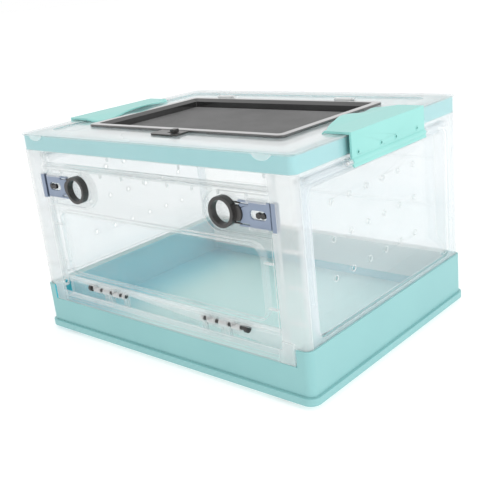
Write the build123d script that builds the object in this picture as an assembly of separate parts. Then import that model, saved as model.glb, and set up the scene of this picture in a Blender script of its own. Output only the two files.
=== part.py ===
import os
from build123d import *

# Travel hamster cage, millimetres. Origin at the middle of the footprint, on the ground.
# +X is the cage's right side, -Y its front, +Z up.

# Overall
body_width = 420.0
body_depth = 315.0
foot_height = 5.0
base_height = 57.5
wall_rise = 194.5            # from the top of the tray to the top of the lid

# Tray
tray_wall = 3.0
floor_thick = 3.0
tray_corner = 9.0
shelf_width = 14.0           # ledge inside the tray's rim that the walls stand on
shelf_thick = 3.0
flange_out = 3.0
flange_height = 8.0
groove_height = 1.2
groove_depth = 0.8
notch_half = 193.5           # half width of the cut in the tray's front
notch_sill = 39.0            # height of that cut's bottom above the tray's underside

# Feet
foot_radius = 9.0
foot_round = 2.5
foot_inset_x = 39.0
foot_inset_y = 15.0

# Clear walls
wall_inset = 2.0             # walls stand this far inside the tray's outline
skin = 3.0
wall_corner = 7.0
corner_return = 7.5          # how far front and back wrap round the corners
post_width = 32.0
jamb_depth = 9.0
jamb_thick = 2.5
lintel_height = 17.5
sill_foot = 15.0
sill_foot_rise = 5.5
seam = 0.3                   # gap between pieces that only stand beside each other
past = 1.0                   # how far a cutting shape runs beyond the face that it cuts

# Lid and upper frame
lid_wall = 2.2
lid_skirt = 19.5
lid_corner = 11.0
skirt_gap = 0.5
under_skirt = 0.3
channel_width = 14.0
channel_wall = 3.0
channel_top = 2.5
channel_lift = 3.0           # the channel's inner wall stops this far above its outer wall
bump_radius = 14.0
bump_proud = 1.6
bump_drop = 7.2              # bump's lowest point below the top of the lid
bump_inset = 36.0
bump_sink = 0.001            # joins the bump's face to the skirt
lid_ribs = 5
lid_rib_height = 4.5
lid_rib_thick = 1.6
lid_edge = 0.7
bay_depth = 1.6              # shallow recess in the lid round the window
bay_side = 25.0              # from the lid's end to the recess
bay_before = 27.5            # from the lid's front or back edge to the recess
bay_corner = 12.0

# Front door
door_gap = 1.5
door_bottom_rise = 5.0       # door's lower edge above its hinge axis
door_skin = 2.5
door_depth = 7.0
hinge_rise = 5.5             # hinge axis above the top of the tray
hinge_inset = 5.5            # hinge axis behind the front plane
sill_drop = 4.0              # sill's edge below the top of the tray
sill_gutter = 8.0            # depth of the channel that the hinges lie in
sill_lip = 2.5
sill_lip_rise = 12.0         # channel's rear lip above the top of the tray
door_pan_side = 16.5         # from the door's edge to its pan
door_pan_rise = 12.0         # pan's lower edge above the door's
door_pan_height = 78.0
door_pan_corner = 13.0
door_pan_depth = 6.0

# Door hinges
door_hinge_inset = 79.5      # hinge's middle from the door's edge
door_pin_radius = 2.6
pin_head_radius = 4.3
knuckle_radius = 4.5
ear_front = 1.5              # ear's pillar in front of the hinge axis
door_knuckle = 11.0
sill_knuckle = 12.0
pin_window = 6.0             # stretch of bare pin between two knuckles
cheek = 4.0
run_clear = 0.05
fixed_clear = 0.02

# Slide latches
latch_inset = 59.5           # ring's centre from the door's edge
latch_below_top = 24.0       # ring's centre below the door's upper edge
pocket_half = 21.0
pocket_depth = 5.0
pocket_reach = 27.0          # pocket's round end from the ring's centre
ring_outer = 16.25
ring_inner = 12.5
ring_proud = 3.3
tongue_height = 16.0
bolt_offset = 20.5           # bolt's middle from the ring's centre
bolt_height = 26.5
bolt_thick = 2.5
bolt_recess = 0.5            # bolt's nose inside the door's edge when drawn in
tail_inset = 13.5            # bolt's tail under the tongue, from the ring's centre
tail_thick = 1.0
tongue_round = 10.7          # radius of the tongue's end and of the bolt's cut round it
tongue_reach = 24.1          # tongue's tip from the ring's centre
arm_reach = 21.5             # arms' tips from the ring's centre
arm_offset = 10.6            # arms' height above and below the ring's centre
arm_thick = 1.2
arm_depth = 2.5
prong_start = 19.3           # bolt's two prongs from the ring's centre
prong_slot = 1.8             # height of the slot beside each prong
prong_slot_end = 32.7        # that slot's end from the ring's centre
tongue_thick = 4.2
tail_step = 2.0              # tail narrower than the tongue at each edge
latch_travel = 7.0
slot_length = 21.2
slot_height = 9.4
slot_inset = 4.6             # slot's outer end from the bolt's nose
peg_radius = 3.1
peg_pitch = 5.8
peg_height = 3.4
peg_clear = 1.0              # peg's outer lobe from the slot's outer end
rail_length = 25.0
rail_inset = 3.5
rail_thick = 2.0
rail_lip = 1.2
keeper_inset = 0.6           # keeper's mouth behind the post's edge
keeper_width = 5.9
keeper_lip = 1.0
slide_clear = 0.3

# Side walls
recess_depth = 16.0
side_post = 20.5             # from the wall's corner to the recess
recess_bar = 4.5             # bar under the opening
recess_rail = 15.2           # rail over the opening
recess_corner = 10.0
panel_gap = 1.5
panel_wall = 2.5
panel_slope_rise = 22.0
vent_radius = 3.0
vent_margin = 55.0           # outer vents from the recess's edge
vent_columns = 6
vent_rows = (128.5, 89.5, 47.5)   # heights above the top of the tray
side_pin_radius = 1.5
side_barrel = 3.2
side_axis_drop = 10.7        # hinge axis below the top of the walls
side_axis_inset = 11.0
ear_middle = 16.0
ear_end = 10.0
ear_gap = 0.6

# Window in the lid
window_side = 59.0           # from the lid's end to the window
window_before = 60.5         # lid in front of the window
window_behind = 65.5         # lid behind the window
window_corner = 8.0
rim_side = 9.5
rim_front = 9.0
rim_back = 8.0
rim_height = 2.8
rim_slope_run = 3.1          # slope from the rim's top down into the well
rim_slope_drop = 3.9
rim_edge = 0.8
rest_gap = 0.3
well_wall = 3.0
well_depth = 10.5            # well's bottom below the recess in the lid
well_lip = 3.0
well_corner = 1.5
well_clear = 2.0
mesh_thick = 0.8
mesh_columns = 24
mesh_rows = 14
mesh_bar = 2.0
tab_left = 19.0
tab_right = 22.0
tab_reach = 21.0
tab_corner = 6.0
window_hinge_x = 95.0
window_hinge_back = 3.5
window_hinge_rise = 3.4
window_barrel = 2.6
window_barrel_length = 20.0
window_lug = 4.0
window_pin_radius = 1.2

# Slider on the window's tab
slider_x = 11.5
slider_width = 7.0
slider_depth = 7.0
slider_height = 4.0
slider_travel = 8.0
slider_stem = 3.6
toe_length = 5.0
toe_width = 7.0
toe_room = 0.6
toe_thick = 2.0
toe_drop = 2.6               # toe's top below the recess in the lid

# Clips at the two ends
clip_length = 140.5
clip_centre = -2.75
clip_gap = 2.7
clip_wall = 2.5
clip_over = 0.4
clip_flange = 31.0
clip_bite = 2.0              # brim's root inside the flange
brim_thick = 1.8
brim_rest = 0.3              # brim's ends above the recess in the lid
brim_stations = (            # half lengths along the clip, reach past the flange, rise
    (-1.0, 3.0, 0.0), (-0.86, 5.0, 0.4), (-0.72, 9.5, 1.6), (-0.55, 13.8, 3.0), (-0.4, 16.5, 4.0),
    (-0.2, 20.8, 5.0), (0.0, 21.8, 4.8), (0.15, 19.5, 3.8), (0.28, 18.8, 2.4), (0.42, 20.5, 1.2),
    (0.58, 23.5, 0.2), (0.75, 26.5, 0.0), (0.9, 26.0, 0.0), (1.0, 14.0, 0.0))
clip_axis_drop = 6.2         # hinge axis below the top of the walls
clip_axis_out = 1.3          # hinge axis outside the plate's inner face
clip_barrel = 3.4
clip_lip_out = 3.5
clip_lip_down = 5.4
clip_lip_thick = 1.8
clip_hole_radius = 1.5
clip_hole_boss = 2.6
clip_hole_proud = 0.5
clip_hole_rise = 7.8
clip_holes = (-59.5, -17.5, 11.0, 53.8)
clip_pin_radius = 1.5
clip_lug = 5.0
clip_lug_gap = 1.0
clip_pin_stub = 2.0

# Levels and places that follow from the sizes above
base_bottom = foot_height
base_top = base_bottom + base_height
lid_top = base_top + wall_rise
lid_under = lid_top - lid_wall
skirt_bottom = lid_top - lid_skirt
wall_top = skirt_bottom - under_skirt
half_width = body_width / 2
half_depth = body_depth / 2
wall_x = half_width - wall_inset
front_y = -half_depth + wall_inset
back_y = half_depth - wall_inset
post_x = wall_x - post_width
door_half = post_x - door_gap
hinge_z = base_top + hinge_rise
hinge_y = front_y + hinge_inset
door_bottom = hinge_z + door_bottom_rise
door_top = wall_top - lintel_height - door_gap
latch_z = door_top - latch_below_top
latch_x = door_half - latch_inset
pocket_start = latch_x - pocket_reach
bolt_start = latch_x + bolt_offset
door_pan_half = door_half - door_pan_side
door_hinge_x = door_half - door_hinge_inset
pocket_floor = front_y + pocket_depth
bolt_back = pocket_floor - slide_clear
bolt_front = bolt_back - bolt_thick
bolt_nose = door_half - bolt_recess
slot_outer = bolt_nose - slot_inset
keeper_x = post_x + keeper_inset
keeper_height = bolt_height + 2 * slide_clear
recess_half = half_depth - wall_inset - side_post
vent_pitch_y = 2 * (recess_half - vent_margin) / (vent_columns - 1)
side_axis_x = wall_x - side_axis_inset
side_axis_z = wall_top - side_axis_drop
window_half = half_width - window_side
window_front = half_depth - window_before
window_back = half_depth - window_behind
window_axis_y = window_back + window_hinge_back
bay_floor = lid_top - bay_depth
window_axis_z = bay_floor + window_hinge_rise
rim_bottom = bay_floor + rest_gap
rim_top = rim_bottom + rim_height
well_bottom = bay_floor - well_depth
well_x = window_half - rim_side - rim_slope_run
well_front = window_front - rim_front - rim_slope_run
well_back = window_back - rim_back - rim_slope_run
well_mid = (well_back - well_front) / 2
well_half = (well_back + well_front) / 2
clip_plate_x = half_width + clip_gap
clip_axis_x = clip_plate_x + clip_axis_out
clip_axis_z = wall_top - clip_axis_drop
clip_under = lid_top + clip_over
clip_top = clip_under + clip_wall
clip_front = clip_centre - clip_length / 2
clip_back = clip_centre + clip_length / 2


def block(x0, x1, y0, y1, z0, z1):
    """A box from its two corners."""
    return Pos((x0 + x1) / 2, (y0 + y1) / 2, (z0 + z1) / 2) * Box(x1 - x0, y1 - y0, z1 - z0)


def rounded(half_x, half_y, z0, z1, radius, y_mid=0.0):
    """An upright slab with round corners."""
    plan = Pos(0, y_mid, z0) * RectangleRounded(2 * half_x, 2 * half_y, radius)
    return extrude(plan, z1 - z0, dir=(0, 0, 1))


def facing(shape, y0, y1):
    """A flat shape drawn as seen from the front, run from y0 to y1."""
    plane = Plane(origin=(0, y0, 0), x_dir=(1, 0, 0), z_dir=(0, -1, 0))
    return extrude(plane * shape, y1 - y0, dir=(0, 1, 0))


def sideways(shape, x0, x1):
    """A flat shape drawn in Y and Z, run from x0 to x1."""
    plane = Plane(origin=(x0, 0, 0), x_dir=(0, 1, 0), z_dir=(1, 0, 0))
    return extrude(plane * shape, x1 - x0, dir=(1, 0, 0))


def along_y(points, y0, y1):
    """A closed outline in X and Z, run from y0 to y1."""
    outline = make_face(Polyline(*[(x, y0, z) for x, z in points], close=True))
    return extrude(outline, y1 - y0, dir=(0, 1, 0))


def rod_x(x0, x1, y, z, radius):
    return Pos((x0 + x1) / 2, y, z) * Rot(0, 90, 0) * Cylinder(radius, x1 - x0)


def rod_y(x, y0, y1, z, radius):
    return Pos(x, (y0 + y1) / 2, z) * Rot(90, 0, 0) * Cylinder(radius, y1 - y0)


def mirrored(solid):
    return mirror(solid, about=Plane.YZ)


def turned(solid):
    """The same moulding turned round to serve at the cage's other end."""
    return Pos(0, clip_centre, 0) * Rot(0, 0, 180) * Pos(0, -clip_centre, 0) * solid


def base_tray():
    """The teal tray's walls with their foot flange, rim ledge and front notch."""
    tray = rounded(half_width, half_depth, base_bottom, base_top, tray_corner)
    flange_top = base_bottom + flange_height
    groove = rounded(half_width + flange_out, half_depth + flange_out, flange_top,
                     flange_top + groove_height, tray_corner)
    groove -= rounded(half_width - groove_depth, half_depth - groove_depth, flange_top,
                      flange_top + groove_height, tray_corner)
    tray -= groove
    tray += rounded(half_width + flange_out, half_depth + flange_out, base_bottom, flange_top,
                    tray_corner + flange_out)
    tray -= rounded(half_width - tray_wall, half_depth - tray_wall, base_bottom - past,
                    base_top - shelf_thick, tray_corner - tray_wall)
    tray -= rounded(half_width - shelf_width, half_depth - shelf_width, base_bottom - past,
                    base_top + past, tray_corner - tray_wall)
    tray -= block(-notch_half, notch_half, -half_depth - past, -half_depth + shelf_width + past,
                  base_bottom + notch_sill, base_top + past)
    return tray


def tray_floor():
    """The tray's flat floor, between its walls."""
    return rounded(half_width - tray_wall, half_depth - tray_wall, base_bottom,
                   base_bottom + floor_thick, tray_corner - tray_wall)


def feet():
    """Four black rubber feet under the tray."""
    foot = Cylinder(foot_radius, foot_height, align=(Align.CENTER, Align.CENTER, Align.MIN))
    foot = fillet(foot.edges().filter_by(GeomType.CIRCLE).sort_by(Axis.Z)[0], foot_round)
    x, y = half_width - foot_inset_x, half_depth - foot_inset_y
    return [Pos(sx * x, sy * y, 0) * foot for sx in (-1, 1) for sy in (-1, 1)]


def corner_plan(y_outer, inward):
    """Plan of a wall that wraps round both of its corners."""
    far = y_outer + inward * 2 * wall_corner
    y_mid = (y_outer + far) / 2
    outer = Pos(0, y_mid) * RectangleRounded(2 * wall_x, 2 * wall_corner + 0.001, wall_corner)
    inner = Pos(0, y_mid + inward * skin) * RectangleRounded(
        2 * (wall_x - skin), 2 * wall_corner, wall_corner - skin)
    wrap = outer - inner
    low, high = sorted((y_outer, y_outer + inward * corner_return))
    return wrap & (Pos(0, (low + high) / 2) * Rectangle(body_width, high - low))


def sill_ears(centre):
    """The frame's knuckle of one door hinge, with the cheek at the pin's inner end."""
    ears = []
    reach = sill_knuckle / 2 + 2 * pin_window + door_knuckle
    inner = sorted((-centre / abs(centre) * reach, -centre / abs(centre) * (reach + cheek)))
    for x0, x1 in ((-sill_knuckle / 2, sill_knuckle / 2), inner):
        ear = rod_x(centre + x0, centre + x1, hinge_y, hinge_z, knuckle_radius)
        ear += block(centre + x0, centre + x1, hinge_y - ear_front, hinge_y + knuckle_radius,
                     base_top - sill_drop - sill_gutter, hinge_z)
        ears.append(ear)
    return ears


def front_frame():
    """Clear front frame: two posts, lintel and the sill that fills the tray's notch."""
    frame = extrude(Pos(0, 0, base_top) * corner_plan(front_y, 1), wall_top - base_top, dir=(0, 0, 1))
    opening_top = door_top + door_gap
    frame -= block(-post_x, post_x, front_y - past, front_y + skin + past, base_top - past, opening_top)
    for side in (-1, 1):
        edge = side * post_x
        x0, x1 = sorted((edge, edge + side * jamb_thick))
        frame += block(x0, x1, front_y, front_y + jamb_depth, base_top, wall_top)
        x0, x1 = sorted((edge, edge + side * sill_foot))
        frame += block(x0, x1, -half_depth + seam, front_y + skin, base_bottom + notch_sill + seam,
                       base_top + sill_foot_rise)
    frame += block(-post_x, post_x, front_y, front_y + jamb_depth, opening_top, opening_top + jamb_thick)
    sill_half = post_x + sill_foot
    frame += block(-sill_half, sill_half, -half_depth + seam, -half_depth + tray_wall,
                   base_bottom + notch_sill + seam, base_top - sill_drop)
    lip_y = hinge_y + knuckle_radius + seam
    gutter = base_top - sill_drop - sill_gutter
    frame += block(-post_x, post_x, -half_depth + tray_wall, lip_y + sill_lip, gutter - sill_lip, gutter)
    frame += block(-post_x, post_x, lip_y, lip_y + sill_lip, gutter, base_top + sill_lip_rise)
    for centre in (-door_hinge_x, door_hinge_x):
        for ear in sill_ears(centre):
            frame += ear
        frame -= rod_x(centre - door_hinge_x, centre + door_hinge_x, hinge_y, hinge_z,
                       door_pin_radius + fixed_clear)
    for side in (-1, 1):
        x0, x1 = sorted((side * (post_x - past), side * (keeper_x + keeper_width + fixed_clear)))
        half = keeper_height / 2 + keeper_lip
        frame -= block(x0, x1, front_y - past, front_y + jamb_depth + past, latch_z - half, latch_z + half)
    return frame


def back_wall():
    """Clear back wall that wraps round both rear corners, with two stiffening ribs."""
    wall = extrude(Pos(0, 0, base_top) * corner_plan(back_y, -1), wall_top - base_top, dir=(0, 0, 1))
    third = (wall_top - base_top) / 3
    for z in (base_top + third, base_top + 2 * third):
        wall += block(-post_x, post_x, back_y - skin - jamb_thick, back_y - skin, z, z + jamb_thick)
    return wall


def side_frame():
    """Right side frame: an opening under a rail, ears for the panel and lugs for the clip."""
    reach = half_depth - wall_inset - corner_return
    frame = block(wall_x - skin, wall_x, -reach, reach, base_top, wall_top)
    low, high = base_top + recess_bar, wall_top - recess_rail
    hole = Pos(0, (low + high) / 2) * RectangleRounded(2 * recess_half, high - low, recess_corner)
    frame -= sideways(hole, wall_x - skin - past, wall_x + past)
    for y, width in ((0, ear_middle), (-recess_half, ear_end), (recess_half, ear_end)):
        ear = block(side_axis_x, wall_x - skin, y - width / 2, y + width / 2,
                    side_axis_z - side_barrel, side_axis_z + side_barrel)
        frame += ear + rod_y(side_axis_x, y - width / 2, y + width / 2, side_axis_z, side_barrel)
    frame -= rod_y(side_axis_x, -recess_half - ear_end, recess_half + ear_end, side_axis_z,
                   side_pin_radius + fixed_clear)
    for y0 in (clip_front - clip_lug_gap - clip_lug, clip_back + clip_lug_gap):
        lug = block(wall_x, clip_axis_x, y0, y0 + clip_lug, clip_axis_z - clip_barrel,
                    clip_axis_z + clip_barrel)
        frame += lug + rod_y(clip_axis_x, y0, y0 + clip_lug, clip_axis_z, clip_barrel)
    frame -= rod_y(clip_axis_x, clip_front - clip_lug_gap - clip_lug, clip_back + clip_lug_gap + clip_lug,
                   clip_axis_z, clip_pin_radius + fixed_clear)
    return frame


def side_panel():
    """Right side panel: a dished sheet with vents that hangs from its top edge."""
    outer_x = wall_x - skin - seam
    inner_x = wall_x - recess_depth - panel_wall
    floor_x = wall_x - recess_depth
    half = recess_half - panel_gap
    low, high = base_top + recess_bar + panel_gap / 2, wall_top - recess_rail - panel_gap / 2
    shape = Pos(0, (low + high) / 2) * RectangleRounded(2 * half, high - low, recess_corner - panel_gap)
    inside = Pos(0, (low + high) / 2) * RectangleRounded(
        2 * (half - panel_wall), high - low - 2 * panel_wall, recess_corner - panel_gap - panel_wall)
    run = outer_x - floor_x
    slope = run / panel_slope_rise
    foot_z = low + panel_wall
    void = sideways(inside, floor_x, outer_x + past)
    void &= along_y([(outer_x + past, foot_z - past / slope), (outer_x, foot_z),
                     (floor_x, foot_z + panel_slope_rise), (floor_x, high), (outer_x + past, high)],
                    -half, half)
    bottom_x = outer_x - panel_wall
    trim_top = low + (bottom_x - inner_x) / slope
    trim = along_y([(bottom_x, low - past), (bottom_x, low), (inner_x - past, trim_top + past / slope),
                    (inner_x - past, low - past)], -half, half)
    panel = sideways(shape, inner_x, outer_x) - trim - void
    first = -(vent_columns - 1) / 2 * vent_pitch_y
    for row in vent_rows:
        for column in range(vent_columns):
            vent = Pos((inner_x + floor_x) / 2, first + column * vent_pitch_y, base_top + row)
            panel -= vent * Rot(0, 90, 0) * Cylinder(vent_radius, 3 * panel_wall)
    near, far = ear_middle / 2 + ear_gap, recess_half - ear_end / 2 - ear_gap
    for y0, y1 in ((near, far), (-far, -near)):
        panel += rod_y(side_axis_x, y0, y1, side_axis_z, side_barrel)
        web = side_barrel / 2
        panel += block(side_axis_x - web, side_axis_x + web, y0, y1, high - panel_wall, side_axis_z)
    panel -= rod_y(side_axis_x, -recess_half, recess_half, side_axis_z, side_pin_radius + run_clear)
    return panel


def side_pin():
    """Right side panel's hinge rod."""
    reach = recess_half + ear_end / 2
    return rod_y(side_axis_x, -reach, reach, side_axis_z, side_pin_radius)


def upper_frame():
    """Teal channel ring under the lid."""
    outer_x = half_width - lid_wall - skirt_gap
    outer_y = half_depth - lid_wall - skirt_gap
    corner = lid_corner - lid_wall - skirt_gap
    ring = rounded(outer_x, outer_y, wall_top, lid_under, corner)
    inner_x, inner_y = outer_x - channel_width, outer_y - channel_width
    ring -= rounded(inner_x, inner_y, wall_top - past, lid_under + past, corner / 2)
    groove = rounded(outer_x - channel_wall, outer_y - channel_wall, wall_top - past,
                     lid_under - channel_top, corner - channel_wall)
    groove -= rounded(inner_x + channel_wall, inner_y + channel_wall, wall_top + channel_lift,
                      lid_under - channel_top, corner / 2 + channel_wall)
    return ring - groove


def lid():
    """Clear lid with its skirt, bumps, shallow recess, window hole, hinge lugs and ribs."""
    cover = rounded(half_width, half_depth, skirt_bottom, lid_top, lid_corner)
    cover = chamfer(cover.edges().group_by(Axis.Z)[-1], lid_edge)
    cover -= rounded(half_width - lid_wall, half_depth - lid_wall, skirt_bottom - past, lid_under,
                     lid_corner - lid_wall)
    for sx in (-1, 1):
        for sy in (-1, 1):
            x = sx * (half_width - bump_inset)
            bump = rod_y(x, -bump_proud, bump_proud, lid_top - bump_drop + bump_radius, bump_radius)
            bump &= block(x - bump_radius, x + bump_radius, -bump_proud, bump_proud, skirt_bottom,
                          lid_top - lid_edge)
            cover += Pos(0, sy * (half_depth - bump_sink), 0) * bump - rounded(
                half_width - lid_wall, half_depth - lid_wall, skirt_bottom, lid_top,
                lid_corner - lid_wall)
    bay_x, bay_y = half_width - bay_side, half_depth - bay_before
    cover += rounded(bay_x + lid_wall, bay_y + lid_wall, bay_floor - lid_wall, lid_under,
                     bay_corner + lid_wall)
    cover -= rounded(bay_x, bay_y, bay_floor, lid_top + past, bay_corner)
    hole_x = well_x + well_wall + well_clear
    hole_front = well_front + well_wall + well_clear
    hole_back = well_back + well_wall + well_clear
    spacing = (hole_back + hole_front) / (lid_ribs - 1)
    rib_end = half_width - lid_wall - skirt_gap - channel_width - skirt_gap
    for count in range(lid_ribs):
        y = -hole_front + count * spacing
        cover += block(-rib_end, rib_end, y - lid_rib_thick / 2, y + lid_rib_thick / 2,
                       lid_under - lid_rib_height, lid_under)
    cover -= block(-hole_x, hole_x, -hole_front, hole_back, well_bottom - lid_rib_height, lid_top + past)
    toe_y = -window_front - tab_reach / 2
    entry_x, entry_y = toe_length / 2 + toe_room, toe_width / 2 + toe_room
    stem = slider_stem / 2 + toe_room
    keyhole_bottom = bay_floor - lid_wall - past
    keyhole = block(slider_x - entry_x, slider_x + entry_x, toe_y - entry_y, toe_y + entry_y,
                    keyhole_bottom, bay_floor)
    keyhole += block(slider_x - slider_travel - stem, slider_x, toe_y - stem, toe_y + stem,
                     keyhole_bottom, bay_floor)
    cover -= keyhole
    for side in (-1, 1):
        for end in (-1, 1):
            x = side * window_hinge_x + end * (window_barrel_length + window_lug + 2 * seam) / 2
            lug = rod_x(x - window_lug / 2, x + window_lug / 2, window_axis_y, window_axis_z, window_barrel)
            lug += block(x - window_lug / 2, x + window_lug / 2, window_axis_y - window_barrel,
                         window_axis_y + window_barrel, bay_floor - lid_wall / 2, window_axis_z)
            cover += lug
        reach = window_barrel_length / 2 + window_lug + seam
        middle = side * window_hinge_x
        cover -= rod_x(middle - reach, middle + reach, window_axis_y, window_axis_z,
                       window_pin_radius + fixed_clear)
    return cover


def window_frame():
    """Black window frame: a rim on the lid, a slope and a well down to the mesh, a front tab."""
    mid = (window_back - window_front) / 2
    deep = (window_back + window_front) / 2
    frame = rounded(window_half, deep, rim_bottom, rim_top, window_corner, mid)
    frame = chamfer(frame.edges().group_by(Axis.Z)[-1], rim_edge)
    tab = Pos((tab_right - tab_left) / 2, -window_front, rim_bottom) * RectangleRounded(
        tab_left + tab_right, 2 * tab_reach, tab_corner)
    frame += extrude(tab, rim_height - rim_edge, dir=(0, 0, 1)) - block(
        -window_half, window_half, -window_front + rim_front / 2, window_back, rim_bottom, rim_top)
    frame += rounded(well_x + well_wall, well_half + well_wall, well_bottom, rim_bottom,
                     well_corner + well_wall, well_mid)
    mouth = Pos(0, well_mid, rim_top) * RectangleRounded(
        2 * (well_x + rim_slope_run), 2 * (well_half + rim_slope_run), well_corner + rim_slope_run)
    throat = Pos(0, well_mid, rim_top - rim_slope_drop) * RectangleRounded(
        2 * well_x, 2 * well_half, well_corner)
    frame -= loft([throat.face(), mouth.face()])
    frame -= rounded(well_x, well_half, well_bottom + well_lip / 2, rim_top, well_corner, well_mid)
    frame -= rounded(well_x - well_lip, well_half - well_lip, well_bottom - past, rim_top, well_corner,
                     well_mid)
    for side in (-1, 1):
        x0 = side * window_hinge_x - window_barrel_length / 2
        x1 = x0 + window_barrel_length
        frame += block(x0, x1, window_back - rim_edge, window_axis_y, window_axis_z - window_barrel, rim_top)
        frame += rod_x(x0, x1, window_axis_y, window_axis_z, window_barrel)
        frame -= rod_x(x0, x1, window_axis_y, window_axis_z, window_pin_radius + run_clear)
    slot_y = window_front + tab_reach / 2
    stem = slider_stem / 2 + slide_clear
    frame -= block(slider_x - slider_travel - stem, slider_x + stem, -slot_y - stem, -slot_y + stem,
                   rim_bottom - past, rim_top)
    return frame


def window_mesh():
    """The window's net: one thin sheet with a grid of square gaps."""
    pitch_x = 2 * (well_x - well_lip) / mesh_columns
    pitch_y = 2 * (well_half - well_lip) / mesh_rows
    sheet = Pos(0, well_mid) * RectangleRounded(2 * (well_x - seam), 2 * (well_half - seam), well_corner)
    gaps = Pos(0, well_mid) * GridLocations(pitch_x, pitch_y, mesh_columns, mesh_rows)
    gap = Rectangle(pitch_x - mesh_bar, pitch_y - mesh_bar)
    sheet -= [place * gap for place in gaps]
    return extrude(Pos(0, 0, well_bottom + well_lip / 2) * sheet, mesh_thick, dir=(0, 0, 1))


def window_hinge_pins():
    """The two short pins of the window's hinges."""
    reach = window_barrel_length / 2 + window_lug + seam
    return [rod_x(x - reach, x + reach, window_axis_y, window_axis_z, window_pin_radius)
            for x in (-window_hinge_x, window_hinge_x)]


def window_slider():
    """Small slider on the tab, with a toe that slips under the lid's recess."""
    y = -window_front - tab_reach / 2
    tab_top = rim_bottom + rim_height - rim_edge + rest_gap
    knob = block(slider_x - slider_width / 2, slider_x + slider_width / 2, y - slider_depth / 2,
                 y + slider_depth / 2, tab_top, tab_top + slider_height)
    knob = fillet(knob.edges().group_by(Axis.Z)[-1], rim_edge)
    toe_top = bay_floor - toe_drop
    stem = block(slider_x - slider_stem / 2, slider_x + slider_stem / 2, y - slider_stem / 2,
                 y + slider_stem / 2, toe_top, tab_top)
    toe = block(slider_x - toe_length / 2, slider_x + toe_length / 2, y - toe_width / 2,
                y + toe_width / 2, toe_top - toe_thick, toe_top)
    return knob + stem + toe


def clip_brim(flange_x):
    """Brim from the right clip's flange down into the lid, raised in the middle for a finger."""
    sections = []
    for along, reach, rise in brim_stations:
        y = clip_centre + along * clip_length / 2
        z = bay_floor + brim_rest + rise
        sections.append(make_face(Polyline(
            (flange_x + clip_bite, y, clip_under), (flange_x + clip_bite, y, clip_top),
            (flange_x, y, clip_top),
            (flange_x - reach, y, z + brim_thick), (flange_x - reach, y, z), (flange_x, y, clip_under),
            close=True)))
    return loft(sections)


def clip():
    """Right teal clip: a plate beside the skirt, a flange over the lid and its brim."""
    plate_out = clip_plate_x + clip_wall
    flange_x = plate_out - clip_flange
    body = along_y([(clip_plate_x, clip_axis_z), (plate_out, clip_axis_z), (plate_out, clip_top),
                    (flange_x, clip_top), (flange_x, clip_under), (clip_plate_x, clip_under)],
                   clip_front, clip_back)
    body += clip_brim(flange_x)
    body += rod_y(clip_axis_x, clip_front, clip_back, clip_axis_z, clip_barrel)
    lip_x, lip_z = clip_axis_x + clip_lip_out, clip_axis_z - clip_lip_down
    body += along_y([(clip_axis_x - clip_lip_thick / 2, clip_axis_z), (lip_x - clip_lip_thick, lip_z),
                     (lip_x, lip_z), (clip_axis_x + clip_lip_thick, clip_axis_z)], clip_front, clip_back)
    for y in clip_holes:
        z = clip_axis_z + clip_hole_rise
        place = Pos(plate_out, clip_centre + y, z) * Rot(0, 90, 0)
        body += place * Cylinder(clip_hole_boss, 2 * clip_hole_proud)
        body -= place * Cylinder(clip_hole_radius, 3 * clip_wall)
    body -= rod_y(clip_axis_x, clip_front, clip_back, clip_axis_z, clip_pin_radius + run_clear)
    return body


def clip_pin():
    """Right clip's hinge pin."""
    reach = clip_length / 2 + clip_lug_gap + clip_lug + clip_pin_stub
    return rod_y(clip_axis_x, clip_centre - reach, clip_centre + reach, clip_axis_z, clip_pin_radius)


def latch_rails():
    """Right pair of lipped rails that hold the bolt in the door's pocket."""
    rails = []
    end = door_half - rail_inset
    lip_y = bolt_front - slide_clear
    for side in (-1, 1):
        edge = latch_z + side * (bolt_height / 2 + slide_clear)
        z0, z1 = sorted((edge, edge + side * rail_thick))
        rail = block(end - rail_length, end, lip_y - rail_lip, pocket_floor, z0, z1)
        z0, z1 = sorted((edge - side * rail_lip, edge + side * rail_thick))
        rails.append(rail + block(end - rail_length, end, lip_y - rail_lip, lip_y, z0, z1))
    return rails


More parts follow.
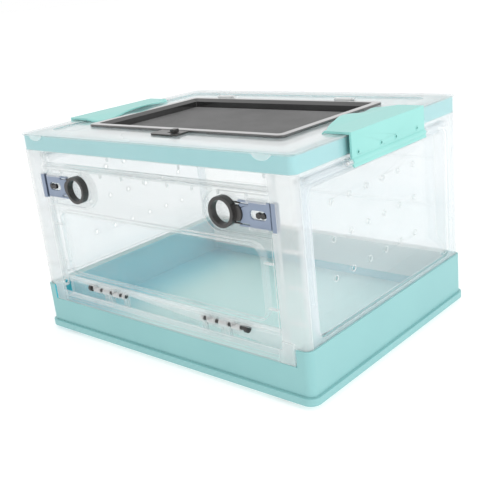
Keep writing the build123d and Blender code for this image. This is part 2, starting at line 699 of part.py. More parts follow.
def front_door():
    """Clear door: skin and edge ribs, a pan pressed into it and a pocket for each latch."""
    door = block(-door_half, door_half, front_y, front_y + door_depth, door_bottom, door_top)
    door -= block(-door_half + door_skin, door_half - door_skin, front_y + door_skin, front_y + door_depth,
                  door_bottom + door_skin, door_top - door_skin)
    pan_mid = door_bottom + door_pan_rise + door_pan_height / 2
    grown = Pos(0, pan_mid) * RectangleRounded(
        2 * (door_pan_half + door_skin), door_pan_height + 2 * door_skin, door_pan_corner + door_skin)
    pan = Pos(0, pan_mid) * RectangleRounded(2 * door_pan_half, door_pan_height, door_pan_corner)
    door += facing(grown, front_y, front_y + door_pan_depth + door_skin)
    door -= facing(pan, front_y, front_y + door_pan_depth)
    pocket_end = door_half + pocket_half
    for side in (-1, 1):
        centre = side * (pocket_start + pocket_end) / 2
        inside = Pos(centre, latch_z) * SlotOverall(pocket_end - pocket_start, 2 * pocket_half)
        outside = Pos(centre, latch_z) * SlotOverall(pocket_end - pocket_start + 2 * door_skin,
                                                     2 * (pocket_half + door_skin))
        limit = block(-door_half, door_half, front_y, pocket_floor + door_skin, door_bottom, door_top)
        door += facing(outside, front_y, pocket_floor + door_skin) & limit
        door -= facing(inside, front_y, pocket_floor)
    for rail in latch_rails():
        door += rail
        door += mirrored(rail)
    for centre in (-door_hinge_x, door_hinge_x):
        for side in (-1, 1):
            x = centre + side * (sill_knuckle / 2 + pin_window + door_knuckle / 2)
            knuckle = rod_x(x - door_knuckle / 2, x + door_knuckle / 2, hinge_y, hinge_z, knuckle_radius)
            knuckle += block(x - door_knuckle / 2, x + door_knuckle / 2, hinge_y - knuckle_radius,
                             front_y + door_depth, hinge_z, door_bottom + door_skin)
            knuckle -= rod_x(x - door_knuckle, x + door_knuckle, hinge_y, hinge_z,
                             door_pin_radius + run_clear)
            door += knuckle
    return door


def door_pin(side):
    """One black hinge pin of the door, with a round head at its outer end."""
    reach = sill_knuckle / 2 + 2 * pin_window + door_knuckle
    centre = side * door_hinge_x
    pin = rod_x(centre - reach - cheek, centre + reach + cheek, hinge_y, hinge_z, door_pin_radius)
    x0, x1 = sorted((centre + side * reach, centre + side * (reach + cheek)))
    return pin + rod_x(x0, x1, hinge_y, hinge_z, pin_head_radius)


def tongue_shape(clear):
    """Right tongue seen from the front: a band with a round end, grown by clear."""
    run = tongue_reach - tongue_round
    height = tongue_height + 2 * clear
    tip = Pos(latch_x + run, latch_z) * Circle(tongue_round + clear)
    tip &= Pos(latch_x + run, latch_z) * Rectangle(4 * tongue_round, height)
    return tip + Pos(latch_x + run / 2, latch_z) * Rectangle(run, height)


def latch_slider():
    """Right latch's black finger ring with its tongue and two arms."""
    ring_front = front_y - ring_proud
    disc = Pos(latch_x, latch_z) * Circle(ring_outer)
    slider = facing(disc, ring_front, bolt_back)
    slider += facing(tongue_shape(0), bolt_back - tongue_thick, bolt_back)
    for side in (-1, 1):
        z = latch_z + side * arm_offset
        slider += block(latch_x + ring_outer / 2, latch_x + arm_reach, bolt_back - arm_depth, bolt_back,
                        z - arm_thick / 2, z + arm_thick / 2)
    tail_half = tongue_height / 2 - tail_step
    slider -= block(latch_x + tail_inset, latch_x + tongue_reach + seam, bolt_back - tail_thick, bolt_back,
                    latch_z - tail_half, latch_z + tail_half)
    slider -= facing(Pos(latch_x, latch_z) * Circle(ring_inner), ring_front - past, bolt_back + past)
    return slider


def latch_bolt():
    """Right latch's slotted blue-grey bolt."""
    inner = latch_x + prong_start
    half = bolt_height / 2
    bolt = block(inner, bolt_nose, bolt_front, bolt_back, latch_z - half, latch_z + half)
    bolt -= facing(tongue_shape(seam), bolt_front - past, bolt_back + past)
    gap = Pos(latch_x, latch_z) * Rectangle(2 * prong_slot_end, 2 * arm_offset + prong_slot)
    kept = Pos(bolt_nose, latch_z) * Rectangle(2 * (bolt_nose - bolt_start), 2 * arm_offset - prong_slot)
    bolt -= facing(gap - kept, bolt_front - past, bolt_back + past)
    tail_half = tongue_height / 2 - tail_step - fixed_clear
    bolt += block(latch_x + tail_inset + fixed_clear, latch_x + prong_slot_end,
                  bolt_back - tail_thick + fixed_clear, bolt_back, latch_z - tail_half, latch_z + tail_half)
    slot = Pos(slot_outer - slot_length / 2, latch_z) * SlotOverall(slot_length, slot_height)
    return bolt - facing(slot, bolt_front - past, bolt_back + past)


def latch_peg():
    """Right latch's two-lobed peg that stands on the door in the bolt's slot."""
    outer = slot_outer - peg_clear - peg_radius
    lobes = Pos(outer, latch_z) * Circle(peg_radius) + Pos(outer - peg_pitch, latch_z) * Circle(peg_radius)
    return facing(lobes, pocket_floor - peg_height, pocket_floor)


def latch_keeper():
    """Right post's blue-grey socket for the bolt's nose."""
    half = keeper_height / 2 + keeper_lip - fixed_clear
    keeper = block(keeper_x, keeper_x + keeper_width, bolt_front - slide_clear - keeper_lip,
                   bolt_back + slide_clear + keeper_lip, latch_z - half, latch_z + half)
    nose = latch_travel - (keeper_x - bolt_nose) + slide_clear
    return keeper - block(keeper_x, keeper_x + nose, bolt_front - slide_clear, bolt_back + slide_clear,
                          latch_z - keeper_height / 2, latch_z + keeper_height / 2)


def save(name, solid):
    solids = solid if isinstance(solid, list) else [solid]
    export_step(solids[0] if len(solids) == 1 else Compound(children=solids), f"parts/{name}.step")


os.makedirs("parts", exist_ok=True)
save("base_tray", base_tray())
save("tray_floor", tray_floor())
save("feet", feet())
save("front_frame", front_frame())
save("back_wall", back_wall())
save("upper_frame", upper_frame())
save("lid", lid())
save("window_frame", window_frame())
save("window_mesh", window_mesh())
save("window_hinge_pins", window_hinge_pins())
save("window_slider", window_slider())
save("front_door", front_door())
save("door_pin_right", door_pin(1))
save("door_pin_left", door_pin(-1))
right_hand = {
    "side_frame": side_frame(), "side_panel": side_panel(), "side_pin": side_pin(),
    "clip": clip(), "clip_pin": clip_pin(),
    "latch_slider": latch_slider(), "latch_bolt": latch_bolt(), "latch_peg": latch_peg(),
    "latch_keeper": latch_keeper(),
}
for name, solid in right_hand.items():
    save(f"{name}_right", solid)
    save(f"{name}_left", turned(solid) if name == "clip" else mirrored(solid))
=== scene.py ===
import math
import bmesh
import bpy
from mathutils import Matrix, Vector


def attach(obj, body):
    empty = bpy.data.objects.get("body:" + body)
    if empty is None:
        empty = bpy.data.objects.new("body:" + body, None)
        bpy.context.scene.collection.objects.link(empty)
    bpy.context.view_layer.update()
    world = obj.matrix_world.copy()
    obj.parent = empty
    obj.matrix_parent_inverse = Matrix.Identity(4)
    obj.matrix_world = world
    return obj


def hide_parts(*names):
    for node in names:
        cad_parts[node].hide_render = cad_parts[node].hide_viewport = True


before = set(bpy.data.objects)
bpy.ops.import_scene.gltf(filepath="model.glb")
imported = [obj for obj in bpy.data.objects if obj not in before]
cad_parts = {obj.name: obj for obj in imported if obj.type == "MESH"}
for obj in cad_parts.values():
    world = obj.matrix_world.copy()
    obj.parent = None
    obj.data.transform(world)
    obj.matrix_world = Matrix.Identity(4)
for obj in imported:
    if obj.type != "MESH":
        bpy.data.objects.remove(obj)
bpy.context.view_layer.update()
mm = 0.001
print("frame loaded")


def placed(name, data):
    made = bpy.data.objects.new(name, data)
    bpy.context.scene.collection.objects.link(made)
    return made


camera = {
    "place": (0.6374, -0.6957, 0.4087),  # in metres
    "right": (0.7588, 0.6435, -0.1004),  # the camera's own axes
    "up": (-0.1382, 0.3097, 0.9408),
    "back": (0.6365, -0.7000, 0.3239),
    "lens": 57.35,
    "sensor": 36,
    "near": 0.01,
    "far": 100,
}


def makeCamera():
    data = bpy.data.cameras.new("productCamera")
    data.lens = camera["lens"]
    data.sensor_width = camera["sensor"]
    data.clip_start, data.clip_end = camera["near"], camera["far"]
    eye = placed("productCamera", data)
    turn = Matrix((camera["right"], camera["up"], camera["back"])).transposed().to_4x4()
    eye.matrix_world = Matrix.Translation(camera["place"]) @ turn
    bpy.context.scene.camera = eye


makeCamera()
print("camera placed")


# how the materials are made

noise = {
    "rough": 0.55,
    "start": 0.35,  # where the noise starts to count, and where it counts in full
    "stop": 0.65,
    "broad": 3.0,  # detail of the slow change of tone, of the fine grain and of the ripple
    "fine": 2.0,
    "ripple": 1.0,
}


def nodesOf(name):
    made = bpy.data.materials.new(name)
    made.use_nodes = True
    made.node_tree.nodes.clear()
    return made, made.node_tree


def add(tree, kind, inputs=None, **settings):
    node = tree.nodes.new(kind)
    for key, value in settings.items():
        setattr(node, key, value)
    for key, value in (inputs or {}).items():
        if isinstance(value, bpy.types.NodeSocket):
            tree.links.new(value, node.inputs[key])
        else:
            node.inputs[key].default_value = value
    return node


def maths(tree, operation, *values, clamp=False):
    return add(tree, "ShaderNodeMath", dict(enumerate(values)),
               operation=operation, use_clamp=clamp).outputs[0]


def blended(tree, share, first, second):
    return add(tree, "ShaderNodeMixShader", {0: share, 1: first, 2: second}).outputs[0]


def grainOf(tree, scale, detail):
    place = add(tree, "ShaderNodeTexCoord")
    return add(tree, "ShaderNodeTexNoise", {
        "Vector": place.outputs["Object"], "Scale": scale, "Detail": detail,
        "Roughness": noise["rough"]}).outputs["Fac"]


def spread(tree, fac, low, high):
    return add(tree, "ShaderNodeMapRange", {
        "Value": fac, "From Min": noise["start"], "From Max": noise["stop"],
        "To Min": low, "To Max": high}).outputs["Result"]


def ramped(tree, axis, start, stop, gain):  # rises along X, Z or the distance |X| from the middle, in mm
    place = add(tree, "ShaderNodeTexCoord")
    split = add(tree, "ShaderNodeSeparateXYZ", {"Vector": place.outputs["Object"]})
    along = split.outputs[axis.strip("|")]
    if axis.startswith("|"):
        along = maths(tree, "ABSOLUTE", along)
    return add(tree, "ShaderNodeMapRange", {
        "Value": along, "From Min": start * mm, "From Max": stop * mm, "To Min": 0.0, "To Max": gain},
        interpolation_type="SMOOTHSTEP").outputs["Result"]


def reliefOf(tree, height, look):
    return add(tree, "ShaderNodeBump", {
        "Height": height, "Strength": look["relief"], "Distance": look["depth"] * mm}).outputs["Normal"]


def finished(tree, surface):
    out = add(tree, "ShaderNodeOutputMaterial")
    tree.links.new(surface, out.inputs["Surface"])


def moulded(name, look):
    made, tree = nodesOf(name)
    broad = grainOf(tree, look["patch"], noise["broad"])
    fine = grainOf(tree, look["grain"], noise["fine"])
    # a look with a shade ramp gets painted shade along one axis instead of a tone that wavers at random
    change = ramped(tree, *look["shadeRamp"]) if "shadeRamp" in look else spread(tree, broad, 0.0, 1.0)
    tone = add(tree, "ShaderNodeMix", {"Factor": change}, data_type="RGBA")
    tone.inputs[6].default_value = (*look["deep"], 1)  # sockets 6 and 7 are the mix's two colours
    tone.inputs[7].default_value = (*look["pale"], 1)
    shader = add(tree, "ShaderNodeBsdfPrincipled", {
        "Base Color": tone.outputs[2], "Roughness": spread(tree, broad, *look["rough"]),
        "Normal": reliefOf(tree, fine, look), "Specular IOR Level": look["shine"],
        "Coat Weight": look["coat"], "Coat Roughness": look["coatRough"]})
    finished(tree, shader.outputs["BSDF"])
    return made


def clearPlastic(name, look):
    made, tree = nodesOf(name)
    broad = grainOf(tree, look["patch"], noise["broad"])
    relief = reliefOf(tree, grainOf(tree, look["grain"], noise["ripple"]), look)
    through = add(tree, "ShaderNodeBsdfTransparent", {"Color": (*look["tint"], 1)})
    outer = add(tree, "ShaderNodeBsdfPrincipled", {
        "Base Color": (*look["milk"], 1), "Roughness": spread(tree, broad, *look["rough"]),
        "Normal": relief})
    inner = add(tree, "ShaderNodeBsdfTranslucent", {"Color": (*look["milk"], 1)})
    milk = blended(tree, look["depthOfMilk"], outer.outputs[0], inner.outputs[0])
    shine = add(tree, "ShaderNodeBsdfGlossy", {
        "Color": (1, 1, 1, 1), "Roughness": look["polish"], "Normal": relief})
    facing = add(tree, "ShaderNodeLayerWeight").outputs["Facing"]
    steep = maths(tree, "POWER", facing, look["glossPower"])
    mirror = maths(tree, "MULTIPLY_ADD", steep, look["glossRise"], look["gloss"])
    rim = maths(tree, "POWER", facing, look["rimPower"])
    mistAndGlare = spread(tree, broad, *look["haze"])
    # painted reflection: the glare bands add milk on top of the random haze
    for glareBand in look["glareBands"]:
        mistAndGlare = maths(tree, "ADD", mistAndGlare, ramped(tree, *glareBand))
    # veil: the random haze plus painted reflection from the glare bands and from grazing angles
    veil = maths(tree, "MULTIPLY_ADD", rim, look["grazingGlare"], mistAndGlare, clamp=True)
    body = blended(tree, veil, through.outputs[0], milk)
    finished(tree, blended(tree, mirror, body, shine.outputs[0]))
    return made


# opaque finishes

teal = {
    "deep": (0.242, 0.492, 0.498),  # the two tones that the colour wavers between
    "pale": (0.264, 0.520, 0.522),
    "patch": 9.0,
    "grain": 2600.0,
    "relief": 0.25,
    "depth": 0.05,  # in mm
    "rough": (0.36, 0.46),
    "shine": 0.45,
    "coat": 0.0,
    "coatRough": 0.1,
}
mintTeal = {**teal, "deep": (0.262, 0.600, 0.560), "pale": (0.292, 0.632, 0.592), "rough": (0.32, 0.42)}
# painted light: the tray's inward faces, the same moulding as its outside, get a bluer, deeper teal
# standing in for how light falls inside the cage
innerTealShaded = {**teal, "deep": (0.080, 0.560, 0.665), "pale": (0.105, 0.590, 0.695)}
frameTeal = {**teal, "deep": (0.270, 0.580, 0.600), "pale": (0.300, 0.610, 0.628)}
floorTealShadeRamp = {
    **teal,
    "deep": (0.085, 0.640, 0.760),
    "pale": (0.600, 0.930, 0.890),
    "rough": (0.3, 0.4),
    "shadeRamp": ("X", -205, -100, 1.0),  # painted shade: the floor runs from the deep, bluer teal to the pale one between these places along X, standing in for the light falling across it
}
blackGloss = {
    **teal,
    "deep": (0.020, 0.020, 0.020),
    "pale": (0.027, 0.027, 0.027),
    "patch": 25.0,
    "grain": 1800.0,
    "relief": 0.08,
    "depth": 0.03,
    "rough": (0.12, 0.2),
    "shine": 0.9,
    "coat": 1.0,
    "coatRough": 0.08,
}
blackSatin = {
    **blackGloss,
    "deep": (0.022, 0.021, 0.020),
    "pale": (0.032, 0.031, 0.030),
    "rough": (0.3, 0.4),
    "coat": 0.2,
    "shine": 0.5,
}
netGrey = {
    **blackSatin,
    "deep": (0.150, 0.150, 0.150),
    "pale": (0.190, 0.190, 0.190),
    "rough": (0.45, 0.6),
    "coat": 0.0,
}
rubber = {**blackSatin, "rough": (0.6, 0.75), "coat": 0.0, "relief": 0.5}
boltBlue = {
    **teal,
    "deep": (0.215, 0.270, 0.370),
    "pale": (0.255, 0.310, 0.410),
    "patch": 30.0,
    "grain": 2200.0,
    "relief": 0.2,
    "depth": 0.04,
    "rough": (0.35, 0.45),
    "shine": 0.5,
}
steel = {
    **teal,
    "deep": (0.60, 0.60, 0.60),
    "pale": (0.72, 0.72, 0.72),
    "patch": 60.0,
    "grain": 900.0,
    "relief": 0.1,
    "depth": 0.02,
    "rough": (0.25, 0.35),
    "shine": 0.8,
}


# clear finishes

clearLook = {
    "tint": (0.990, 0.995, 0.997),
    "milk": (0.90, 0.905, 0.90),
    "haze": (0.09, 0.13),  # share of milk in the plastic
    "depthOfMilk": 0.5,  # share of the milk that lets light through
    "grazingGlare": 0.35,  # painted reflection: more milk where the surface is seen edge on, standing in for the white surroundings reflected at grazing angles
    "rimPower": 3.0,
    "glareBands": (),  # painted reflection: stretches made milkier, standing in for the lamps' glare on the plastic
    "patch": 7.0,
    "grain": 60.0,
    "relief": 0.12,
    "depth": 0.3,  # in mm
    "rough": (0.2, 0.32),
    "polish": 0.07,
    "gloss": 0.05,
    "glossRise": 0.9,
    "glossPower": 5.0,
}
# painted reflection: the front wall's side posts and its lower part get extra milk for glare
frontLook = {**clearLook, "glareBands": (("|X|", 168, 177, 0.20), ("Z", 76, 62, 0.06))}
backLook = {**clearLook, "haze": (0.12, 0.17), "milk": (0.93, 0.925, 0.90)}
hemLook = {**backLook, "haze": (0.72, 0.80)}
sheetLook = {**clearLook, "haze": (0.19, 0.24), "milk": (0.87, 0.92, 0.955)}
sideLook = {**sheetLook, "haze": (0.21, 0.26)}
# painted highlight: rounded edges, ribs and vent rims of the clear plastic get a near-white milk,
# standing in for light caught along the edges
edgeHighlightLook = {**clearLook, "haze": (0.46, 0.60), "milk": (0.985, 0.985, 0.98), "grazingGlare": 0.2}
skirtLook = {**clearLook, "haze": (0.04, 0.07), "grazingGlare": 0.15, "polish": 0.1}
# painted reflection: the lid's upward faces get far more milk than its skirt, standing in for the white
# sky reflected at a low angle
lidGlareLook = {
    **clearLook,
    "haze": (0.40, 0.46),
    "milk": (0.90, 0.915, 0.925),
    "polish": 0.12,
    "gloss": 0.06,
}
doorLook = {
    **clearLook,
    "haze": (0.045, 0.07),
    "milk": (0.93, 0.93, 0.92),
    # painted reflection: the door's upper band gets extra milk for a softbox's glare
    "glareBands": (("Z", 156, 163, 0.16),),
}

opaqueLooks = {
    "tealPlastic": teal,
    "floorPlasticShaded": floorTealShadeRamp,
    "innerTealShadedPlastic": innerTealShaded,
    "mintPlastic": mintTeal,
    "frameTealPlastic": frameTeal,
    "blackGlossPlastic": blackGloss,
    "blackSatinPlastic": blackSatin,
    "netThread": netGrey,
    "slateBluePlastic": boltBlue,
    "footRubber": rubber,
    "brightSteel": steel,
}
clearLooks = {
    "clearHem": hemLook,
    "clearFront": frontLook,
    "clearBack": backLook,
    "clearSide": sideLook,
    "clearSheet": sheetLook,
    "clearEdgeHighlight": edgeHighlightLook,
    "clearLidGlare": lidGlareLook,
    "clearSkirt": skirtLook,
    "clearDoor": doorLook,
}
paint = {name: moulded(name, look) for name, look in opaqueLooks.items()}
paint.update({name: clearPlastic(name, look) for name, look in clearLooks.items()})
print("materials made")


# how the pieces are made

edges = {"angle": 32.0, "segments": 2, "flatness": 100}  # which edges are rounded, and how
weldReach = 0.01  # in mm, for corners that two loose triangles share
pieces = {}


def addPiece(name, mesh, materials, body, slotName, *replaced):
    mesh.materials.clear()
    for key in materials:
        mesh.materials.append(paint[key])
    piece = placed(name, mesh)
    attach(piece, body)
    if replaced:
        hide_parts(*replaced)
    pieces[name] = piece
    return piece


def mergedCopy(node):
    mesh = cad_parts[node].data.copy()
    form = bmesh.new()
    form.from_mesh(mesh)
    bmesh.ops.remove_doubles(form, verts=form.verts, dist=weldReach * mm)
    form.to_mesh(mesh)
    form.free()
    if "custom_normal" in mesh.attributes:
        mesh.attributes.remove(mesh.attributes["custom_normal"])
    return mesh


def joined(name, meshes):
    form = bmesh.new()
    for mesh in meshes:
        form.from_mesh(mesh)
    whole = bpy.data.meshes.new(name)
    form.to_mesh(whole)
    form.free()
    return whole


def baked(piece):
    graph = bpy.context.evaluated_depsgraph_get()
    mesh = bpy.data.meshes.new_from_object(piece.evaluated_get(graph))
    piece.modifiers.clear()
    old, piece.data = piece.data, mesh
    bpy.data.meshes.remove(old)


def softened(piece, width, edgeSlot=-1):  # slot -1 keeps the finish of the faces beside the edge
    piece.data.shade_smooth()
    rounding = piece.modifiers.new("rounding", "BEVEL")
    rounding.width = width * mm
    rounding.segments = edges["segments"]
    rounding.limit_method = "ANGLE"
    rounding.angle_limit = math.radians(edges["angle"])
    rounding.use_clamp_overlap = False
    rounding.material = edgeSlot
    rounding.miter_outer = "MITER_ARC"
    evening = piece.modifiers.new("evening", "WEIGHTED_NORMAL")  # keeps faces flat beside their edges
    evening.mode = "FACE_AREA"
    evening.weight = edges["flatness"]
    bpy.context.view_layer.update()
    baked(piece)


# moulded pieces, each in its own finishes

dressing = {
    "tray": {
        "node": "base_tray", "body": "body", "slot": "tray_teal",
        "finishes": ["tealPlastic", "innerTealShadedPlastic"], "edge": 0.5},
    "trayFloor": {
        "node": "tray_floor", "body": "body", "slot": "tray_teal",
        "finishes": ["floorPlasticShaded"], "edge": 0.3},
    "rubberFeet": {
        "node": "feet", "body": "body", "slot": "foot_rubber",
        "finishes": ["footRubber"], "edge": 0.3},
    "frontWall": {
        "node": "front_frame", "body": "body", "slot": "clear_wall",
        "finishes": ["clearFront", "clearEdgeHighlight"], "edge": 0.35},
    "backWall": {
        "node": "back_wall", "body": "body", "slot": "clear_wall",
        "finishes": ["clearBack", "clearEdgeHighlight"], "edge": 0.35},
    "tealRing": {
        "node": "upper_frame", "body": "body", "slot": "frame_teal",
        "finishes": ["frameTealPlastic"], "edge": 0.4},
    "lidCover": {
        "node": "lid", "body": "body", "slot": "clear_lid",
        "finishes": ["clearSkirt", "clearEdgeHighlight", "clearLidGlare"], "edge": 0.3},
    "windowRim": {
        "node": "window_frame", "body": "window", "slot": "black_gloss",
        "finishes": ["blackGlossPlastic", "blackSatinPlastic", "clearEdgeHighlight"], "edge": 0.35},
    "windowPins": {
        "node": "window_hinge_pins", "body": "body", "slot": "pin_steel",
        "finishes": ["brightSteel"], "edge": 0.15},
    "tabSlider": {
        "node": "window_slider", "body": "slider", "slot": "black_matte",
        "finishes": ["blackSatinPlastic"], "edge": 0.2},
    "doorPanel": {
        "node": "front_door", "body": "door", "slot": "clear_door",
        "finishes": ["clearDoor", "clearEdgeHighlight"], "edge": 0.35},
}
sided = {  # one of each at the right and one at the left
    "doorPin": {
        "node": "door_pin", "body": "body", "slot": "black_matte",
        "finishes": ["blackSatinPlastic"], "edge": 0.2},
    "sideWall": {
        "node": "side_frame", "body": "body", "slot": "clear_wall",
        "finishes": ["clearSide", "clearEdgeHighlight"], "edge": 0.3},
    "sideSheet": {
        "node": "side_panel", "body": "panel", "slot": "clear_wall",
        "finishes": ["clearSheet", "clearEdgeHighlight"], "edge": 0.3},
    "sideRod": {
        "node": "side_pin", "body": "body", "slot": "pin_steel",
        "finishes": ["brightSteel"], "edge": 0.15},
    "endClip": {
        "node": "clip", "body": "clip_arm", "slot": "clip_teal",
        "finishes": ["mintPlastic"], "edge": 0.2},
    "clipRod": {
        "node": "clip_pin", "body": "body", "slot": "pin_steel",
        "finishes": ["brightSteel"], "edge": 0.15},
    "fingerRing": {
        "node": "latch_slider", "body": "latch", "slot": "black_matte",
        "finishes": ["blackSatinPlastic"], "edge": 0.3},
    "boltPlate": {
        "node": "latch_bolt", "body": "latch", "slot": "bolt_blue",
        "finishes": ["slateBluePlastic"], "edge": 0.25},
    "boltPeg": {
        "node": "latch_peg", "body": "door", "slot": "black_matte",
        "finishes": ["blackSatinPlastic"], "edge": 0.25},
    "boltKeeper": {
        "node": "latch_keeper", "body": "body", "slot": "bolt_blue",
        "finishes": ["slateBluePlastic"], "edge": 0.25},
}
commonBodies = ("body", "door")  # bodies that pieces of both sides ride on
borders = {  # where one finish gives way to another, in mm
    "trayInside": 90.0,  # inward faces further out than this are the inside of the tray
    "lidUp": 0.5,  # least upward lean of the lid's top faces
    "bumpFace": -157.6,
    "bumpFoot": 249.0,
    "hingeY": -150.0,
    "hingeZ": 68.0,
    "hingeReach": 5.5,
    "tabRoot": -98.0,  # front and back edges of the window's rim
    "lugRoot": 92.6,
}


def bothSides():
    for name, look in sided.items():
        for side in ("right", "left"):
            body = look["body"] if look["body"] in commonBodies else f"{look['body']}_{side}"
            dressing[name + side.capitalize()] = {**look, "node": f"{look['node']}_{side}", "body": body}


def dressPiece(name, look):
    node, finishes = look["node"], look["finishes"]
    piece = addPiece(name, mergedCopy(node), finishes, look["body"], look["slot"], node)
    clear = finishes[0].startswith("clear")
    # the rounded edges of clear pieces take the painted edge highlight
    softened(piece, look["edge"], finishes.index("clearEdgeHighlight") if clear else -1)


def recoat(name, finish, chosen):
    for polygon in pieces[name].data.polygons:
        if polygon.material_index == 0 and chosen(polygon.center / mm, polygon.normal):
            polygon.material_index = dressing[name]["finishes"].index(finish)


def insideTray(place, normal):
    return min(place.x * normal.x, place.y * normal.y) < -borders["trayInside"]


def nearHinge(place, normal):
    return math.hypot(place.y - borders["hingeY"], place.z - borders["hingeZ"]) < borders["hingeReach"]


def onBump(place, normal):
    return place.y < borders["bumpFace"] and place.z > borders["bumpFoot"]


bothSides()
for name, look in dressing.items():
    dressPiece(name, look)
# painted light: inward faces of the tray take the bluer inner teal
recoat("tray", "innerTealShadedPlastic", insideTray)
# painted reflection: the lid's upward faces take the milky lid finish
recoat("lidCover", "clearLidGlare", lambda place, normal: normal.z > borders["lidUp"])
# painted highlight: the lid's front bump and the hinge stretches take the white edge finish
recoat("lidCover", "clearEdgeHighlight", onBump)
recoat("doorPanel", "clearEdgeHighlight", nearHinge)
recoat("frontWall", "clearEdgeHighlight", nearHinge)
recoat("windowRim", "blackSatinPlastic", lambda place, normal: place.y < borders["tabRoot"])
# painted reflection: the back lugs of the black gloss rim take the white edge finish, standing in for
# the white sky reflected off the glossy back
recoat("windowRim", "clearEdgeHighlight", lambda place, normal: place.y > borders["lugRoot"])
print("moulded pieces dressed")


# how rows of like things are grown

def startTree(name, sizes):
    tree = bpy.data.node_groups.new(name, "GeometryNodeTree")
    kinds = {"Count": "Int", "Start": "Vector", "Step": "Vector", **sizes, "Finish": "Material"}
    for label, kind in kinds.items():
        tree.interface.new_socket(label, in_out="INPUT", socket_type="NodeSocket" + kind)
    tree.interface.new_socket("Geometry", in_out="OUTPUT", socket_type="NodeSocketGeometry")
    return tree, add(tree, "NodeGroupInput").outputs


def tubeOf(tree, path, sides, radius, caps):
    section = add(tree, "GeometryNodeCurvePrimitiveCircle", {"Resolution": sides, "Radius": radius})
    return add(tree, "GeometryNodeCurveToMesh", {
        "Curve": path.outputs["Curve"], "Profile Curve": section.outputs["Curve"],
        "Fill Caps": caps}).outputs["Mesh"]


def endTree(tree, given, shape, smooth, turn=(0, 0, 0)):
    row = add(tree, "GeometryNodeMeshLine", {
        "Count": given["Count"], "Start Location": given["Start"], "Offset": given["Step"]})
    rows = add(tree, "GeometryNodeInstanceOnPoints", {
        "Points": row.outputs["Mesh"], "Instance": shape, "Rotation": turn})
    real = add(tree, "GeometryNodeRealizeInstances", {"Geometry": rows.outputs["Instances"]})
    if smooth:
        real = add(tree, "GeometryNodeSetShadeSmooth", {"Geometry": real.outputs["Geometry"]})
    coat = add(tree, "GeometryNodeSetMaterial", {
        "Geometry": real.outputs["Geometry"], "Material": given["Finish"]})
    out = add(tree, "NodeGroupOutput")
    tree.links.new(coat.outputs["Geometry"], out.inputs["Geometry"])
    return tree


def grown(name, tree, finish, count, sizes):  # sizes are in mm
    seed = placed(name, bpy.data.meshes.new(name))
    modifier = seed.modifiers.new("growth", "NODES")
    modifier.node_group = tree
    keys = {item.name: item.identifier for item in tree.interface.items_tree if item.in_out == "INPUT"}
    modifier[keys["Count"]] = count
    modifier[keys["Finish"]] = paint[finish]
    for label, size in sizes.items():
        modifier[keys[label]] = Vector(size) * mm if isinstance(size, tuple) else size * mm
    bpy.context.view_layer.update()
    graph = bpy.context.evaluated_depsgraph_get()
    mesh = bpy.data.meshes.new_from_object(seed.evaluated_get(graph))
    bpy.data.objects.remove(seed)
    return mesh


# the window's net

net = {
    "left": -138.1,  # in mm
    "right": 138.1,
    "front": -84.6,
    "back": 80.6,
    "height": 246.6,
    "pitch": 1.7,
    "thread": 0.42,  # radius of a thread
    "sides": 6,
}


def threadTree():
    tree, given = startTree("netThreads", {"Reach": "Vector", "Radius": "Float"})
    line = add(tree, "GeometryNodeCurvePrimitiveLine", {"End": given["Reach"]})
    thread = tubeOf(tree, line, net["sides"], given["Radius"], True)
    return endTree(tree, given, thread, True)


def makeNet():
    tree = threadTree()
    deep, wide = net["back"] - net["front"], net["right"] - net["left"]
    pitch, height = net["pitch"], net["height"]
    warp = grown("threads", tree, "netThread", int(wide / pitch), {
        "Start": (net["left"] + pitch / 2, net["front"], height), "Step": (pitch, 0, 0),
        "Reach": (0, deep, 0), "Radius": net["thread"]})
    weft = grown("threads", tree, "netThread", int(deep / pitch), {
        "Start": (net["left"], net["front"] + pitch / 2, height + net["thread"]), "Step": (0, pitch, 0),
        "Reach": (wide, 0, 0), "Radius": net["thread"]})
    whole = joined("windowNet", (warp, weft))
    addPiece("windowNet", whole, ["netThread"], "window", "net_grey", "window_mesh")


makeNet()
print("net made")


# ribs and ledges of the clear walls

ribRows = {  # in mm; a paired row has its like at the other end of the cage
    "doorRibs": {
        "body": "door", "slot": "clear_door", "paired": False, "count": 9,
        "start": (-144.8, -151.6, 213.2), "step": (36.2, 0, 0), "size": (1.0, 3.4, 5.0)},
    "doorLedges": {
        "body": "door", "slot": "clear_door", "paired": True, "count": 2,
        "start": (165.5, -151.2, 98.0), "step": (0, 0, 48.0), "size": (11.0, 4.4, 1.2)},
    "lintelRibs": {
        "body": "body", "slot": "clear_wall", "paired": False, "count": 4,
        "start": (-168.5, -151.2, 233.8), "step": (112.5, 0, 0), "size": (1.0, 3.0, 5.0)},
    "postLedges": {
        "body": "body", "slot": "clear_wall", "paired": True, "count": 3,
        "start": (194.0, -149.4, 88.0), "step": (0, 0, 37.0), "size": (19.0, 6.2, 1.2)},
}
ribEdge = 0.2


def ribTree():
    tree, given = startTree("ribRow", {"Size": "Vector"})
    rib = add(tree, "GeometryNodeMeshCube", {"Size": given["Size"]})
    return endTree(tree, given, rib.outputs["Mesh"], False)


def makeRibs():
    tree = ribTree()
    for name, row in ribRows.items():
        x, y, z = row["start"]
        for ending, sign in (("", 1), ("Left", -1)) if row["paired"] else (("", 1),):
            mesh = grown(name + ending, tree, "clearEdgeHighlight", row["count"], {
                "Start": (sign * x, y, z), "Step": row["step"], "Size": row["size"]})
            piece = addPiece(name + ending, mesh, ["clearEdgeHighlight"], row["body"], row["slot"])
            softened(piece, ribEdge)


makeRibs()
print("ribs made")


# raised rims of the side panels' vents

vents = {
    "columns": 6,
    "first": -80.0,  # in mm
    "pitch": 32.0,
    "heights": (191.0, 152.0, 110.0),
    "face": 192.2,  # from the cage's middle to the panel's outer face
    "radius": 3.2,
    "bead": 0.45,
    "steps": 24,
    "beadSides": 8,
}


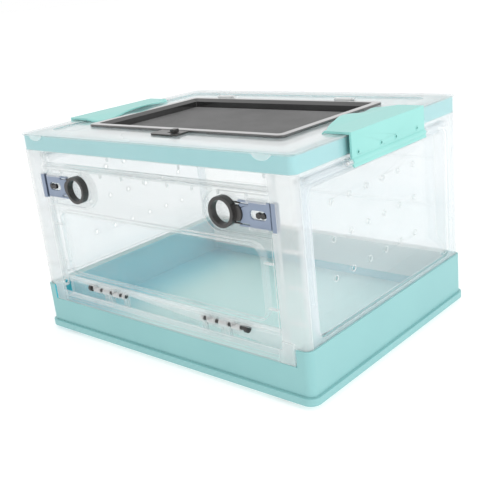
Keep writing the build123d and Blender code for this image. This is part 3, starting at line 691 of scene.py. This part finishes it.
def rimTree():
    tree, given = startTree("ventRims", {"Radius": "Float", "Bead": "Float"})
    ring = add(tree, "GeometryNodeCurvePrimitiveCircle", {
        "Resolution": vents["steps"], "Radius": given["Radius"]})
    hoop = tubeOf(tree, ring, vents["beadSides"], given["Bead"], False)
    return endTree(tree, given, hoop, True, (0, math.pi / 2, 0))


def makeVentRims():
    tree = rimTree()
    for side, sign in (("right", 1), ("left", -1)):
        rows = [grown("rims", tree, "clearEdgeHighlight", vents["columns"], {
            "Start": (sign * vents["face"], vents["first"], height), "Step": (0, vents["pitch"], 0),
            "Radius": vents["radius"], "Bead": vents["bead"]}) for height in vents["heights"]]
        whole = joined("ventRims", rows)
        addPiece("ventRims" + side.capitalize(), whole, ["clearEdgeHighlight"], "panel_" + side, "clear_wall")


makeVentRims()
print("vent rims made")


# milky hem of the back wall, which hangs into the tray

hem = {
    "half": 192.0,  # in mm
    "face": 139.7,
    "back": 152.2,
    "thick": 2.4,
    "foot": 26.0,
    "top": 65.6,
    "edge": 0.4,
}


def makeHem():
    inner, outer = hem["face"], hem["face"] + hem["thick"]
    under = hem["top"] - hem["thick"]
    profile = ((inner, hem["foot"]), (outer, hem["foot"]), (outer, under),
               (hem["back"], under), (hem["back"], hem["top"]), (inner, hem["top"]))
    form = bmesh.new()
    face = form.faces.new([form.verts.new((-hem["half"] * mm, y * mm, z * mm)) for y, z in profile])
    pulled = bmesh.ops.extrude_face_region(form, geom=[face])["geom"]
    bmesh.ops.translate(form, vec=(2 * hem["half"] * mm, 0, 0),
                        verts=[part for part in pulled if isinstance(part, bmesh.types.BMVert)])
    bmesh.ops.recalc_face_normals(form, faces=form.faces)
    mesh = bpy.data.meshes.new("wallHem")
    form.to_mesh(mesh)
    form.free()
    softened(addPiece("wallHem", mesh, ["clearHem"], "body", "clear_wall"), hem["edge"])


makeHem()
print("hem made")


# floor, air and light

studio = {
    "floor": (0.60, 0.60, 0.60),
    "glow": 0.50,  # the floor shines a little, so that it meets the white air without a line
    "reach": 30,  # in metres
    "corners": 96,
    "grain": 40.0,
    "rough": (0.85, 0.95),
    "shine": 0.1,
    "sky": (1.0, 1.0, 1.0),
    "skyPower": 1.0,
    "clearLayers": 40,  # as many clear faces as one ray may pass
}
keyPanel = {"place": (2.0, -0.3, 1.3), "aim": (0, 0, 0.12), "width": 1.4, "height": 1.4, "watts": 16.0}


def makeFloor():
    form = bmesh.new()
    bmesh.ops.create_circle(form, cap_ends=True, radius=studio["reach"], segments=studio["corners"])
    ground = bpy.data.meshes.new("paleFloor")
    form.to_mesh(ground)
    form.free()
    floor = placed("paleFloor", ground)
    paper, tree = nodesOf("paperSweep")
    surface = add(tree, "ShaderNodeBsdfPrincipled", {
        "Base Color": (*studio["floor"], 1), "Specular IOR Level": studio["shine"],
        "Roughness": spread(tree, grainOf(tree, studio["grain"], noise["broad"]), *studio["rough"]),
        "Emission Color": (1, 1, 1, 1), "Emission Strength": studio["glow"]})
    finished(tree, surface.outputs["BSDF"])
    ground.materials.append(paper)


def makeAir():
    world = bpy.data.worlds.new("studioAir")
    world.use_nodes = True
    sky = world.node_tree.nodes["Background"]
    sky.inputs["Color"].default_value = (*studio["sky"], 1)
    sky.inputs["Strength"].default_value = studio["skyPower"]
    bpy.context.scene.world = world


def makeLamp():
    data = bpy.data.lights.new("keyPanel", "AREA")
    data.shape = "RECTANGLE"
    data.size, data.size_y, data.energy = keyPanel["width"], keyPanel["height"], keyPanel["watts"]
    lamp = placed("keyPanel", data)
    lamp.visible_camera = False
    sight = Vector(keyPanel["aim"]) - Vector(keyPanel["place"])
    turn = sight.to_track_quat("-Z", "Y").to_matrix().to_4x4()
    lamp.matrix_world = Matrix.Translation(keyPanel["place"]) @ turn


makeFloor()
makeAir()
makeLamp()
bpy.context.scene.view_settings.view_transform = "Standard"
bpy.context.scene.cycles.transparent_max_bounces = studio["clearLayers"]
print("stage made")
